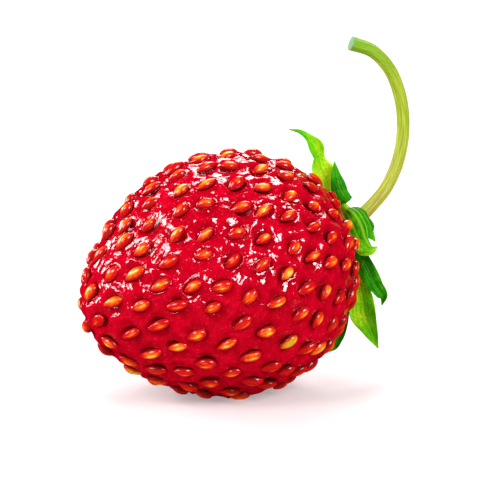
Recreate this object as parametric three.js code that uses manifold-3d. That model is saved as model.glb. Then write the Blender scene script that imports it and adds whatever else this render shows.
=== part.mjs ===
// A wild strawberry lying on its side: the berry with its achenes (the "seeds"), the calyx of
// five sepals and five narrower bractlets on their disc, and the curved pedicel.
//
// Millimetres, +Z up. The origin is the middle of the small flat spot that the berry rests on.
// The berry's axis lies in the XZ plane: its tip points to -X and a little down, and the calyx
// faces +X. The berry and the calyx are built in the berry's own frame, where +Z runs along the
// axis from the calyx end to the tip and +X is the side that ends up on top.

import * as THREE from "three";
import { mergeVertices } from "three/addons/utils/BufferGeometryUtils.js";
import Module from "manifold-3d";

// Berry
const BERRY_LENGTH = 19.5; // flesh, from the calyx end to the tip
const BERRY_RADIUS = 7.85; // flesh, at the thickest ring
const SHOULDER = 0.167; // how far the thickest ring is shifted towards the calyx
const POINTEDNESS = 0.164; // how much slimmer than an ellipsoid the two ends are
const BOW_UP = 0.4; // both ends are carried this far upwards from a straight axis
const BOW_SIDE = -0.4; // and this far sideways
const TIP_DROP = THREE.MathUtils.degToRad(10); // the lying berry's axis falls towards the tip
const FLAT_DEPTH = 0.2; // flesh pressed flat where the berry rests
const BERRY_SIDES = 32;
const BERRY_RINGS = 18;

// Achenes, in the spiral that the florets grew in
const ACHENE_COUNT = 236;
const ACHENE_LENGTH = 1.45;
const ACHENE_WIDTH = 0.88;
const ACHENE_HEIGHT = 0.9;
const ACHENE_RISE = 0.08; // centre above the flesh surface
const ACHENE_POINT = 0.45; // share of the width that is lost at the pointed end
const ACHENE_LEAN = [-0.42, 0.34, 0.84]; // the way the achenes lean, in the berry's frame
const LEAN_SHARE = 0.55; // how far they follow it rather than the meridian to the tip
const BARE_NECK = 0.045; // share of the flesh surface under the calyx that has no achenes
const GOLDEN_ANGLE = Math.PI * (3 - Math.sqrt(5));

// Calyx
const DISC_RADIUS = 2.0;
const DISC_THICKNESS = 0.55;
const NECK_RADIUS = 0.78;
const NECK_LENGTH = 0.9;
const DISC_GAP = 0.15; // between the flesh and the disc
const PIECE_GAP = 0.12; // between the disc and each leaf, and the neck and the pedicel
const LEAF_THICKNESS = 0.3;
const LEAF_TIP_HALF = 0.09; // half width left at the very tip
const LEAF_CUP = 0.25; // how far the margins rise, as a share of the half width
const LAYER_STEP = 0.42; // the bractlets sit this far behind the sepals
const CALYX_RISE = 0.5; // the calyx sits this far above the middle of the berry's end

// Each leaf starts on the disc at an azimuth round the berry's axis from its upper side. Most
// leaves are given by the points that the midrib passes: right, up and near of the calyx's seat
// as it is seen from the berry's front quarter, with a half width at the base and at each point,
// and the way that the leaf's upper face looks at its base and, where it differs, at its tip.
// The others bend evenly: length along the midrib, greatest width, and lift towards the tip of
// the berry at the base and the end. Angles are in degrees.
const QUARTER_AZIMUTH = -32.5;
const QUARTER_ELEVATION = 12;
const SEPALS = [
  {
    azimuth: 14,
    passes: [
      [-0.72, 3.05, 0.4],
      [-1.1, 3.78, 0.6],
      [-1.27, 4.65, 0.45],
      [-1.47, 5.28, 0.6],
      [-1.88, 5.88, 0.55],
      [-2.48, 6.36, 0.35],
      [-3.2, 6.57, 0.2],
    ],
    halves: [0.45, 0.7, 0.76, 0.46, 0.52, 0.3, 0.16, 0.02],
    facing: [0.35, -0.1, 0.9],
    facingEnd: [0.1, 0.5, 0.8],
  },
  {
    azimuth: -45,
    passes: [
      [1.2, 0.89, 2.09],
      [1.62, 0.16, 2.34],
      [1.88, -0.58, 2.29],
      [2.45, -1.18, 1.94],
    ],
    halves: [0.63, 0.88, 1, 0.8, 0.1],
    facing: [-0.1, 0.3, 0.9],
    facingEnd: [0.5, 0.3, 0.8],
  },
  {
    azimuth: -106,
    passes: [
      [1.65, -1.25, 1.85],
      [2.15, -1.5, 1.8],
      [2.68, -1.36, 1.45],
    ],
    halves: [0.45, 0.52, 0.42, 0.05],
    facing: [0.1, 0.5, 0.8],
  },
  {
    azimuth: -160,
    passes: [
      [1.5, -3.6, 0.15],
      [1.8, -4.9, 0.1],
      [1.92, -5.9, 0],
      [2.32, -6.95, -0.2],
      [2.84, -8.2, -0.5],
    ],
    halves: [0.5, 0.66, 0.8, 0.94, 0.6, 0.03],
    facing: [-0.45, 0, 0.9],
  },
  { azimuth: 102, length: 6.0, width: 2.8, lift: 8, liftEnd: 30 },
];
const BRACTLETS = [
  {
    azimuth: -30,
    passes: [
      [0.28, 2.35, 1.35],
      [0.02, 3.25, 1.35],
      [-0.17, 4.39, 0.9],
    ],
    halves: [0.42, 0.54, 0.42, 0.03],
    facing: [0.15, 0.1, 0.95],
  },
  {
    azimuth: -72,
    passes: [
      [1.85, 0.2, 1.55],
      [2.25, -0.4, 1.5],
      [2.55, -0.95, 1.25],
    ],
    halves: [0.38, 0.5, 0.42, 0.05],
    facing: [0.5, 0.3, 0.8],
  },
  {
    azimuth: -136,
    passes: [
      [2.15, -2.87, 0.9],
      [2.67, -3.99, 0.8],
      [3.14, -4.79, 0.6],
      [3.07, -5.25, 0.3],
    ],
    halves: [0.38, 0.5, 0.48, 0.3, 0.05],
    facing: [-0.35, 0.15, 0.92],
    facingEnd: [-0.4, 0.6, 0.7],
  },
  {
    azimuth: 171,
    passes: [
      [0.56, -4.2, -1.3],
      [0.56, -6.43, -1.5],
      [0.2, -7.6, -1.5],
      [-0.05, -8.15, -1.4],
      [-0.43, -8.46, -1.3],
    ],
    halves: [0.3, 0.38, 0.4, 0.36, 0.22, 0.03],
    facing: [-0.45, 0, 0.9],
  },
  { azimuth: 62, length: 4.8, width: 1.6, lift: -2, liftEnd: 10 },
];
const LEAF_STEPS = 12;
const LEAF_STRIPS = 4;

// Pedicel: it leaves the calyx along the berry's axis, rises and bows back over the berry.
// Points are from the middle of the calyx's seat on the berry.
const PEDICEL_RADIUS = 0.43;
const PEDICEL_SWELL = 0.12; // share by which both ends are thicker
const PEDICEL_BOW = [
  [3.1, 0.2, 1.2],
  [4.3, 0.4, 2.15],
  [5.45, 0.6, 3.9],
  [6.08, 0.9, 6.2],
  [5.98, 1.2, 8.3],
  [5.3, 1.55, 10.15],
  [4.2, 2.05, 11.4],
  [2.85, 2.5, 11.95],
];
const PEDICEL_SIDES = 10;
const PEDICEL_STEPS = 36;

const RED = new THREE.MeshStandardMaterial({ color: 0xb0060f, roughness: 0.22, metalness: 0 });
const SEPAL_GREEN = new THREE.MeshStandardMaterial({ color: 0x5f9e1c, roughness: 0.5, metalness: 0 });
const BRACTLET_GREEN = new THREE.MeshStandardMaterial({ color: 0x2f7d1e, roughness: 0.5, metalness: 0 });
const DISC_GREEN = new THREE.MeshStandardMaterial({ color: 0x86a83a, roughness: 0.55, metalness: 0 });
const STEM_GREEN = new THREE.MeshStandardMaterial({ color: 0x9cba3c, roughness: 0.45, metalness: 0 });

const wasm = await Module();
wasm.setup();

/** A closed geometry as a manifold solid. */
function solidOf(geometry) {
  const bare = geometry.clone();
  bare.deleteAttribute("normal");
  bare.deleteAttribute("uv");
  const merged = mergeVertices(bare, 1e-4);
  return new wasm.Manifold(
    new wasm.Mesh({
      numProp: 3,
      vertProperties: merged.attributes.position.array,
      triVerts: new Uint32Array(merged.index.array),
    }),
  );
}

/** A manifold solid as a geometry that three.js can show. */
function geometryOf(solid) {
  const mesh = solid.getMesh();
  const geometry = new THREE.BufferGeometry();
  geometry.setAttribute("position", new THREE.BufferAttribute(mesh.vertProperties, 3));
  geometry.setIndex(new THREE.BufferAttribute(mesh.triVerts, 1));
  geometry.computeVertexNormals();
  return geometry;
}

/** Moves each vertex of a geometry by a function that changes a Vector3 in place. */
function reshape(geometry, change) {
  const position = geometry.attributes.position;
  const point = new THREE.Vector3();
  for (let i = 0; i < position.count; i += 1) {
    point.fromBufferAttribute(position, i);
    change(point);
    position.setXYZ(i, point.x, point.y, point.z);
  }
  return geometry;
}

/** The flesh's outline at a polar angle, 0 at the calyx end and PI at the tip. */
function fleshOutline(polar) {
  const c = Math.cos(polar);
  return {
    along: (-BERRY_LENGTH / 2) * c,
    radius: BERRY_RADIUS * Math.sin(polar) * (1 + SHOULDER * c - POINTEDNESS * c * c),
    up: BOW_UP * c * c,
    side: BOW_SIDE * c * c,
  };
}

/** The point of the flesh that hangs lowest once the berry's tip has dropped, as world x and z. */
function lowestPoint() {
  let lowest = { x: 0, z: Infinity };
  for (let polar = 0; polar < Math.PI; polar += 0.001) {
    const { along, radius, up } = fleshOutline(polar);
    const below = radius - up;
    const x = -along * Math.cos(TIP_DROP) + below * Math.sin(TIP_DROP);
    const z = -along * Math.sin(TIP_DROP) - below * Math.cos(TIP_DROP);
    if (z < lowest.z) lowest = { x, z };
  }
  return lowest;
}

/** The polar angles that split the flesh's surface, past the bare neck, into equal areas. */
function equalAreaPolars(count) {
  const steps = 2000;
  const sums = [0];
  for (let i = 0; i < steps; i += 1) {
    const a = fleshOutline((Math.PI * i) / steps);
    const b = fleshOutline((Math.PI * (i + 1)) / steps);
    const slant = Math.hypot(b.along - a.along, b.radius - a.radius);
    sums.push(sums[i] + slant * (a.radius + b.radius));
  }
  const total = sums[steps];
  const polars = [];
  let step = 0;
  for (let i = 0; i < count; i += 1) {
    const share = BARE_NECK + ((1 - BARE_NECK) * (i + 0.5)) / count;
    while (sums[step + 1] < share * total) step += 1;
    const within = (share * total - sums[step]) / (sums[step + 1] - sums[step]);
    polars.push((Math.PI * (step + within)) / steps);
  }
  return polars;
}

/** The flesh, a body of revolution about Z with its calyx end down. */
function fleshGeometry() {
  const sphere = new THREE.SphereGeometry(1, BERRY_SIDES, BERRY_RINGS);
  return reshape(sphere, (p) => {
    const polar = Math.acos(THREE.MathUtils.clamp(-p.y, -1, 1));
    const azimuth = Math.atan2(p.z, -p.x);
    const { along, radius, up, side } = fleshOutline(polar);
    p.set(radius * Math.cos(azimuth) + up, radius * Math.sin(azimuth) + side, along);
  });
}

/** One achene, lying along X with its pointed end at +X and its back at +Z. */
function acheneGeometry() {
  const sphere = new THREE.SphereGeometry(1, 5, 3);
  sphere.rotateZ(-Math.PI / 2);
  return reshape(sphere, (p) => {
    const slim = 1 - ACHENE_POINT * Math.max(0, p.x);
    p.set((p.x * ACHENE_LENGTH) / 2, (p.y * slim * ACHENE_WIDTH) / 2, (p.z * slim * ACHENE_HEIGHT) / 2);
  });
}

/** Where an achene sits on the flesh: it points to the tip, and leans the way that all of them do. */
function acheneMatrix(polar, azimuth) {
  const here = fleshOutline(polar);
  const next = fleshOutline(polar + 1e-3);
  const slope = Math.atan2(next.radius - here.radius, next.along - here.along);
  const radial = new THREE.Vector3(Math.cos(azimuth), Math.sin(azimuth), 0);
  const axial = new THREE.Vector3(0, 0, 1);
  const towardsTip = axial.clone().multiplyScalar(Math.cos(slope)).addScaledVector(radial, Math.sin(slope));
  const outwards = radial.clone().multiplyScalar(Math.cos(slope)).addScaledVector(axial, -Math.sin(slope));
  const pointing = towardsTip.lerp(new THREE.Vector3(...ACHENE_LEAN), LEAN_SHARE);
  pointing.addScaledVector(outwards, -pointing.dot(outwards)).normalize();
  const across = new THREE.Vector3().crossVectors(outwards, pointing);
  const place = new THREE.Vector3(here.up, here.side, here.along).addScaledVector(radial, here.radius);
  place.addScaledVector(outwards, ACHENE_RISE);
  return new THREE.Matrix4().makeBasis(pointing, across, outwards).setPosition(place);
}

/** The berry: flesh and achenes grown together, pressed flat by the surface that it lies on. */
function berryGeometry(placement) {
  let berry = solidOf(fleshGeometry());
  const achene = acheneGeometry();
  equalAreaPolars(ACHENE_COUNT).forEach((polar, i) => {
    berry = berry.add(solidOf(achene.clone().applyMatrix4(acheneMatrix(polar, i * GOLDEN_ANGLE))));
  });
  const reach = 2 * BERRY_LENGTH;
  const ground = new THREE.BoxGeometry(reach, reach, reach).translate(0, 0, -reach / 2);
  ground.applyMatrix4(placement.clone().invert());
  return geometryOf(berry.subtract(solidOf(ground)));
}

/** The calyx disc with its neck, turned about the axis, its flat side towards the berry. */
function discGeometry() {
  const back = -DISC_THICKNESS - NECK_LENGTH;
  const outline = [
    [0, back],
    [NECK_RADIUS, back],
    [NECK_RADIUS * 1.15, -DISC_THICKNESS - NECK_LENGTH * 0.45],
    [DISC_RADIUS * 0.7, -DISC_THICKNESS],
    [DISC_RADIUS, -DISC_THICKNESS * 0.55],
    [DISC_RADIUS, 0],
    [0, 0],
  ].map(([radius, along]) => new THREE.Vector2(radius, along));
  return new THREE.LatheGeometry(outline, 24).rotateX(Math.PI / 2);
}

/** The half width of an evenly bent leaf, as a share of its greatest, from base (0) to tip (1). */
function leafOutline(s) {
  const widest = 0.36;
  const rise = s < widest ? 1 - 0.45 * (1 - s / widest) ** 2 : 1;
  const fall = s > widest ? 1 - ((s - widest) / (1 - widest)) ** 1.7 : 1;
  return rise * fall;
}

/** Where a leaf leaves the disc, and the directions outwards and sideways there. */
function leafBase(leaf, behind) {
  const azimuth = THREE.MathUtils.degToRad(leaf.azimuth);
  const radial = new THREE.Vector3(Math.cos(azimuth), Math.sin(azimuth), 0);
  const point = radial.clone().multiplyScalar(DISC_RADIUS + PIECE_GAP);
  if (behind) point.z -= LAYER_STEP;
  return { point, radial };
}

/** The midrib of an evenly bent leaf: point, direction across, normal and half width at each step. */
function bentStations(leaf, behind) {
  const { point, radial } = leafBase(leaf, behind);
  const axial = new THREE.Vector3(0, 0, 1);
  const stations = [];
  for (let i = 0; i <= LEAF_STEPS; i += 1) {
    const s = i / LEAF_STEPS;
    const lift = THREE.MathUtils.degToRad(leaf.lift + (leaf.liftEnd - leaf.lift) * s * s);
    const along = radial.clone().multiplyScalar(Math.cos(lift)).addScaledVector(axial, Math.sin(lift));
    const across = new THREE.Vector3().crossVectors(axial, along).normalize();
    const normal = new THREE.Vector3().crossVectors(along, across);
    stations.push({ point: point.clone(), across, normal, half: (leaf.width / 2) * leafOutline(s) });
    point.addScaledVector(along, leaf.length / LEAF_STEPS);
  }
  return stations;
}

/** A direction seen from the berry's front quarter (right, up, near), in the berry's frame. */
function fromQuarter([right, up, near]) {
  const azimuth = THREE.MathUtils.degToRad(QUARTER_AZIMUTH);
  const elevation = THREE.MathUtils.degToRad(QUARTER_ELEVATION);
  const flat = Math.cos(elevation);
  const nearWay = new THREE.Vector3(Math.sin(azimuth) * flat, -Math.cos(azimuth) * flat, Math.sin(elevation));
  const rightWay = new THREE.Vector3(0, 0, 1).cross(nearWay).normalize();
  const upWay = nearWay.clone().cross(rightWay);
  const world = rightWay.multiplyScalar(right).addScaledVector(upWay, up).addScaledVector(nearWay, near);
  return world.applyAxisAngle(new THREE.Vector3(0, 1, 0), Math.PI / 2 + TIP_DROP);
}

/** The slope of each column of numbers at each row, by the parabola through its neighbours. */
function slopesOf(shares, rows) {
  const last = rows.length - 1;
  return rows.map((row, i) =>
    row.map((value, k) => {
      if (i === 0) return (rows[1][k] - value) / (shares[1] - shares[0]);
      if (i === last) return (value - rows[i - 1][k]) / (shares[i] - shares[i - 1]);
      const before = shares[i] - shares[i - 1];
      const after = shares[i + 1] - shares[i];
      const rise = (rows[i + 1][k] - value) / after;
      const run = (value - rows[i - 1][k]) / before;
      return (before * rise + after * run) / (before + after);
    }),
  );
}

/** The numbers at a share of the way along rows of numbers, on a smooth path through them. */
function smoothRow(share, shares, rows, slopes) {
  let k = 0;
  while (k < shares.length - 2 && shares[k + 1] < share) k += 1;
  const span = shares[k + 1] - shares[k];
  const t = (share - shares[k]) / span;
  const h = [2 * t ** 3 - 3 * t ** 2 + 1, t ** 3 - 2 * t ** 2 + t, 3 * t ** 2 - 2 * t ** 3, t ** 3 - t ** 2];
  return rows[k].map(
    (value, c) =>
      h[0] * value + h[1] * span * slopes[k][c] + h[2] * rows[k + 1][c] + h[3] * span * slopes[k + 1][c],
  );
}

/** The midrib of a leaf that passes given points: what bentStations gives, for such a leaf. */
function passingStations(leaf, behind) {
  const seated = (place) => fromQuarter(place).add(new THREE.Vector3(0, 0, DISC_GAP));
  const knots = [leafBase(leaf, behind).point, ...leaf.passes.map(seated)];
  const reach = [0];
  for (let i = 1; i < knots.length; i += 1) reach.push(reach[i - 1] + knots[i].distanceTo(knots[i - 1]));
  const shares = reach.map((r) => r / reach[reach.length - 1]);
  const rows = knots.map((knot, i) => [...knot.toArray(), leaf.halves[i]]);
  const slopes = slopesOf(shares, rows);
  const line = [];
  for (let i = 0; i <= LEAF_STEPS; i += 1) line.push(smoothRow(i / LEAF_STEPS, shares, rows, slopes));
  const points = line.map(([x, y, z]) => new THREE.Vector3(x, y, z));
  const start = fromQuarter(leaf.facing);
  const end = fromQuarter(leaf.facingEnd ?? leaf.facing);
  return points.map((point, i) => {
    const ahead = points[Math.min(i + 1, LEAF_STEPS)].clone().sub(points[Math.max(i - 1, 0)]).normalize();
    const facing = start.clone().lerp(end, i / LEAF_STEPS);
    const across = facing.cross(ahead).normalize();
    return { point, across, normal: ahead.cross(across), half: line[i][3] };
  });
}

/** A leaf: a thin block bent onto its midrib, slimmed to its outline and cupped a little. */
function leafGeometry(leaf, behind = false) {
  const stations = leaf.passes ? passingStations(leaf, behind) : bentStations(leaf, behind);
  const block = new THREE.BoxGeometry(1, 1, 1, LEAF_STEPS, LEAF_STRIPS, 1);
  return reshape(block, (p) => {
    const s = p.x + 0.5;
    const { point, across, normal, half } = stations[Math.round(s * LEAF_STEPS)];
    const halfWidth = Math.max(LEAF_TIP_HALF, half);
    const v = 2 * p.y;
    const cup = LEAF_CUP * halfWidth * v * v;
    const thick = p.z * LEAF_THICKNESS * (1 - 0.4 * s);
    p.copy(point).addScaledVector(across, v * halfWidth).addScaledVector(normal, cup + thick);
  });
}

/** The pedicel, a round tube along its bow that is a little thicker at both ends. */
function pedicelGeometry() {
  const points = PEDICEL_BOW.map((place) => new THREE.Vector3(...place));
  const start = new THREE.Vector3(Math.cos(TIP_DROP), 0, Math.sin(TIP_DROP));
  start.multiplyScalar(DISC_GAP + DISC_THICKNESS + NECK_LENGTH + PIECE_GAP);
  const path = new THREE.CatmullRomCurve3([start, ...points]);
  const section = new THREE.Shape().absarc(0, 0, PEDICEL_RADIUS, 0, 2 * Math.PI);
  const tube = new THREE.ExtrudeGeometry(section, {
    steps: PEDICEL_STEPS,
    curveSegments: PEDICEL_SIDES,
    extrudePath: path,
  });
  const middles = path.getSpacedPoints(PEDICEL_STEPS);
  return reshape(tube, (p) => {
    const gaps = middles.map((m) => m.distanceTo(p));
    const nearest = gaps.indexOf(Math.min(...gaps));
    const fromMiddle = Math.abs((2 * nearest) / PEDICEL_STEPS - 1);
    p.sub(middles[nearest]).multiplyScalar(1 + PEDICEL_SWELL * fromMiddle ** 4).add(middles[nearest]);
  });
}

function named(name, geometry, material) {
  const mesh = new THREE.Mesh(geometry, material);
  mesh.name = name;
  return mesh;
}

// The berry's own frame, laid on its side so that the flat spot is round the origin.
const low = lowestPoint();
const berryFrame = new THREE.Group();
berryFrame.rotation.y = -Math.PI / 2 - TIP_DROP;
berryFrame.position.set(-low.x, 0, -low.z - FLAT_DEPTH);
berryFrame.updateMatrixWorld(true);
berryFrame.add(named("berry", berryGeometry(berryFrame.matrixWorld), RED));

// The calyx sits on the calyx end of the berry, square to its axis.
const seat = new THREE.Vector3(BOW_UP + CALYX_RISE, BOW_SIDE, -BERRY_LENGTH / 2);
const calyx = new THREE.Group();
calyx.position.copy(seat);
calyx.position.z -= DISC_GAP;
calyx.add(named("calyx_disc", discGeometry(), DISC_GREEN));
SEPALS.forEach((leaf, i) => {
  calyx.add(named(`sepal_${i + 1}`, leafGeometry(leaf), SEPAL_GREEN));
});
BRACTLETS.forEach((leaf, i) => {
  calyx.add(named(`bractlet_${i + 1}`, leafGeometry(leaf, true), BRACTLET_GREEN));
});
berryFrame.add(calyx);

// The pedicel's points are in the upright frame, from the same seat.
const pedicel = named("pedicel", pedicelGeometry(), STEM_GREEN);
pedicel.position.copy(berryFrame.localToWorld(seat.clone()));

const strawberry = new THREE.Group();
strawberry.add(berryFrame, pedicel);
export default strawberry;
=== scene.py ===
"""A wild strawberry lying on its side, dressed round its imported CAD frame.

The berry's flesh swells into a net of ridges round sunken seats, each seat holds one achene,
and a leafy calyx and a bowed stalk stand at the end away from the tip. Lengths inside the
classes are millimetres in the CAD's own frame; they become metres where a mesh is made.
"""

import logging
import math
from dataclasses import dataclass, field
from enum import Enum
from typing import Any

import bpy
import numpy as np
from mathutils import Matrix, Vector, noise


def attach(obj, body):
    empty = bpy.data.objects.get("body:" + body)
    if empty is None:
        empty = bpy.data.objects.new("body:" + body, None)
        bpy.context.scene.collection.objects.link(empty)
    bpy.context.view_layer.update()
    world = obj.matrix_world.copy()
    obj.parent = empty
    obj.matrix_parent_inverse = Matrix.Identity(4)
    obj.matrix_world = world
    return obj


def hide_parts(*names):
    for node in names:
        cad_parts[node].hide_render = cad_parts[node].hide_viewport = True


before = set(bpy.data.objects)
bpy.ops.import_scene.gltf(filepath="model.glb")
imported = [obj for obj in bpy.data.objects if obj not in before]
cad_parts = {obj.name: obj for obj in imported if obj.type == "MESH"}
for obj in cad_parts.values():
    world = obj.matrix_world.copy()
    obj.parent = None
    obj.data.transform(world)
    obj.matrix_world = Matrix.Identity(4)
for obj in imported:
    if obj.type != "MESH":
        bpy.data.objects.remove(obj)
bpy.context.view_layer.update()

MM = 0.001
BODY = "root"
FULL_TURN = 2.0 * math.pi
GOLDEN_ANGLE = math.pi * (3 - math.sqrt(5))
FRONT_AZIMUTH = math.radians(-32.5)
FRONT_ELEVATION = math.radians(12.0)
Colour = tuple[float, float, float]

log = logging.getLogger("wild_strawberry")


# --- node trees -------------------------------------------------------------------------------


class Wire:
    """A socket that Python arithmetic works on; each operation adds its Math node."""

    def __init__(self, board: "Board", socket: bpy.types.NodeSocket) -> None:
        """Keeps the board the socket is on.

        Args:
            board: the node tree's wrapper.
            socket: the output that the wire starts from.
        """
        self.board = board
        self.socket = socket

    def _math(self, operation: str, *values: Any) -> "Wire":
        """One Math node.

        Args:
            operation: the Math node's operation.
            values: its inputs, wires or numbers.

        Returns:
            The node's result.
        """
        return self.board.node(
            "ShaderNodeMath", {"operation": operation}, dict(enumerate(values))
        )

    def __add__(self, other: Any) -> "Wire":
        """Sum."""
        return self._math("ADD", self, other)

    def __radd__(self, other: Any) -> "Wire":
        """Sum, number first."""
        return self._math("ADD", other, self)

    def __sub__(self, other: Any) -> "Wire":
        """Difference."""
        return self._math("SUBTRACT", self, other)

    def __rsub__(self, other: Any) -> "Wire":
        """Difference, number first."""
        return self._math("SUBTRACT", other, self)

    def __mul__(self, other: Any) -> "Wire":
        """Product."""
        return self._math("MULTIPLY", self, other)

    def __rmul__(self, other: Any) -> "Wire":
        """Product, number first."""
        return self._math("MULTIPLY", other, self)

    def __pow__(self, other: Any) -> "Wire":
        """Power."""
        return self._math("POWER", self, other)

    def __abs__(self) -> "Wire":
        """Size without sign."""
        return self._math("ABSOLUTE", self)

    def sine(self) -> "Wire":
        """Sine of an angle in radians."""
        return self._math("SINE", self)

    def cosine(self) -> "Wire":
        """Cosine of an angle in radians."""
        return self._math("COSINE", self)

    def clamped(self) -> "Wire":
        """The value held between 0 and 1."""
        return self._math("MAXIMUM", self._math("MINIMUM", self, 1.0), 0.0)

    def band(self, low: float, high: float) -> "Wire":
        """A smooth step.

        Args:
            low: the value that gives 0.
            high: the value that gives 1; below low for a step that falls.

        Returns:
            The step.
        """
        return self.board.node(
            "ShaderNodeMapRange",
            {"interpolation_type": "SMOOTHSTEP"},
            {"Value": self, "From Min": low, "From Max": high},
        )


class Board:
    """A node tree that nodes are put on by type, settings and sockets."""

    def __init__(self, tree: bpy.types.NodeTree) -> None:
        """Keeps the tree.

        Args:
            tree: a material's, world's or geometry node tree.
        """
        self.tree = tree

    @staticmethod
    def find(sockets: Any, key: int | str) -> bpy.types.NodeSocket:
        """A socket by place, identifier or name.

        Args:
            sockets: a node's inputs or outputs.
            key: which one.

        Returns:
            The socket.
        """
        if isinstance(key, int):
            return sockets[key]
        for socket in sockets:
            if socket.identifier == key:
                return socket
        return next(s for s in sockets if s.name == key and s.enabled)

    def node(
        self,
        kind: str,
        settings: dict[str, Any] | None = None,
        inputs: dict[int | str, Any] | None = None,
        outlet: int | str = 0,
    ) -> Wire | None:
        """Adds a node.

        Args:
            kind: the node's type.
            settings: its properties, set first; "stops" fills a ramp.
            inputs: values or wires by socket.
            outlet: the output that is returned.

        Returns:
            The wire from that output, or None for a node that has none.
        """
        made = self.tree.nodes.new(kind)
        for name, value in (settings or {}).items():
            if name == "stops":
                self._fill_ramp(made.color_ramp, value)
            else:
                setattr(made, name, value)
        for key, value in (inputs or {}).items():
            socket = self.find(made.inputs, key)
            if isinstance(value, Wire):
                self.tree.links.new(value.socket, socket)
            else:
                socket.default_value = value
        return Wire(self, self.find(made.outputs, outlet)) if made.outputs else None

    @staticmethod
    def _fill_ramp(ramp: bpy.types.ColorRamp, stops: list[tuple[float, Colour]]) -> None:
        """Sets a ramp's stops.

        Args:
            ramp: the ramp.
            stops: place and colour of each stop.
        """
        while len(ramp.elements) < len(stops):
            ramp.elements.new(1.0)
        for element, (place, colour) in zip(ramp.elements, stops):
            element.position = place
            element.color = (*colour, 1.0)

    def attribute(self, name: str, outlet: str = "Fac") -> Wire:
        """A named attribute of the mesh."""
        return self.node("ShaderNodeAttribute", {"attribute_name": name}, outlet=outlet)

    def place_mm(self) -> Wire:
        """Object coordinates in millimetres."""
        place = self.node("ShaderNodeTexCoord", outlet="Object")
        return self.node("ShaderNodeMapping", inputs={"Vector": place, "Scale": [1.0 / MM] * 3})

    def noise(self, place: Wire, scale: float, detail: float = 2.0, rough: float = 0.5) -> Wire:
        """Noise between about 0 and 1.

        Args:
            place: the coordinates it is read at.
            scale: its frequency in those coordinates.
            detail: how many finer layers it has.
            rough: the weight of the finer layers.

        Returns:
            The noise.
        """
        values = {"Vector": place, "Scale": scale, "Detail": detail, "Roughness": rough}
        return self.node("ShaderNodeTexNoise", inputs=values)

    def fibres(self, x: Wire, y: Wire, z: Wire, scale: float = 1.0, detail: float = 3.0) -> Wire:
        """Streaky noise whose three coordinates are chosen one by one.

        Args:
            x: the first coordinate.
            y: the second.
            z: the third.
            scale: its frequency in those coordinates.
            detail: how many finer layers it has.

        Returns:
            The noise.
        """
        place = self.node("ShaderNodeCombineXYZ", inputs={"X": x, "Y": y, "Z": z})
        return self.noise(place, scale, detail, 0.6)

    def cells(self, place: Wire, scale: float) -> Wire:
        """Distance to the nearest of scattered cell middles.

        Args:
            place: the coordinates it is read at.
            scale: how many cells there are in one unit of them.

        Returns:
            The distance.
        """
        return self.node("ShaderNodeTexVoronoi", inputs={"Vector": place, "Scale": scale})

    def ramp(self, value: Wire, stops: list[tuple[float, Colour]]) -> Wire:
        """Colours along a value."""
        return self.node("ShaderNodeValToRGB", {"stops": stops}, {"Fac": value})

    def mix(self, share: Wire | float, first: Wire | Colour, second: Wire | Colour) -> Wire:
        """A mix of two colours.

        Args:
            share: how much of the second.
            first: a colour or a wire.
            second: a colour or a wire.

        Returns:
            The mixed colour.
        """
        return self.node(
            "ShaderNodeMix",
            {"data_type": "RGBA"},
            {
                "Factor_Float": share,
                "A_Color": first if isinstance(first, Wire) else (*first, 1.0),
                "B_Color": second if isinstance(second, Wire) else (*second, 1.0),
            },
            "Result_Color",
        )

    def bump(self, height: Wire, depth_mm: float, under: Wire | None = None) -> Wire:
        """Relief that is too fine for the mesh.

        Args:
            height: the relief, between 0 and 1.
            depth_mm: how deep it is.
            under: a coarser relief that it goes on.

        Returns:
            The shading normal.
        """
        inputs: dict[int | str, Any] = {"Height": height, "Strength": 1.0, "Distance": depth_mm * MM}
        if under is not None:
            inputs["Normal"] = under
        return self.node("ShaderNodeBump", inputs=inputs)


@dataclass(frozen=True)
class Coating:
    """What is the same all over a finish: how it scatters light inside, and its wet coat."""

    scatter: float = 0.0
    scatter_depth_mm: float = 0.5
    scatter_reach: Colour = (1.0, 0.3, 0.1)
    coat_roughness: float = 0.1
    coat_ior: float = 1.5
    specular: float = 0.5
    ior: float = 1.5


def front_quarter() -> Matrix:
    """The right, up and near directions as the berry's front quarter is seen, as columns.

    Returns:
        A matrix that takes right, up and near to the row's frame.
    """
    flat = math.cos(FRONT_ELEVATION)
    near = Vector(
        (math.sin(FRONT_AZIMUTH) * flat, -math.cos(FRONT_AZIMUTH) * flat, math.sin(FRONT_ELEVATION))
    )
    right = Vector((0.0, 0.0, 1.0)).cross(near).normalized()
    return Matrix((right, near.cross(right), near)).transposed()


def new_material(name: str) -> tuple[bpy.types.Material, Board]:
    """An empty material.

    Args:
        name: its name.

    Returns:
        The material and the board of its tree.
    """
    material = bpy.data.materials.new(name)
    material.use_nodes = True
    material.node_tree.nodes.clear()
    return material, Board(material.node_tree)


def surface(board: Board, coating: Coating, varied: dict[int | str, Any]) -> None:
    """Ends a material's tree in one Principled surface.

    Args:
        board: the material's board.
        coating: its constants.
        varied: what changes over the surface, by socket.
    """
    constants = {
        "Subsurface Weight": coating.scatter,
        "Subsurface Scale": coating.scatter_depth_mm * MM,
        "Subsurface Radius": coating.scatter_reach,
        "Coat Roughness": coating.coat_roughness,
        "Coat IOR": coating.coat_ior,
        "Specular IOR Level": coating.specular,
        "IOR": coating.ior,
    }
    shader = board.node("ShaderNodeBsdfPrincipled", inputs={**constants, **varied})
    board.node("ShaderNodeOutputMaterial", inputs={"Surface": shader})


# --- finishes ---------------------------------------------------------------------------------


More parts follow.
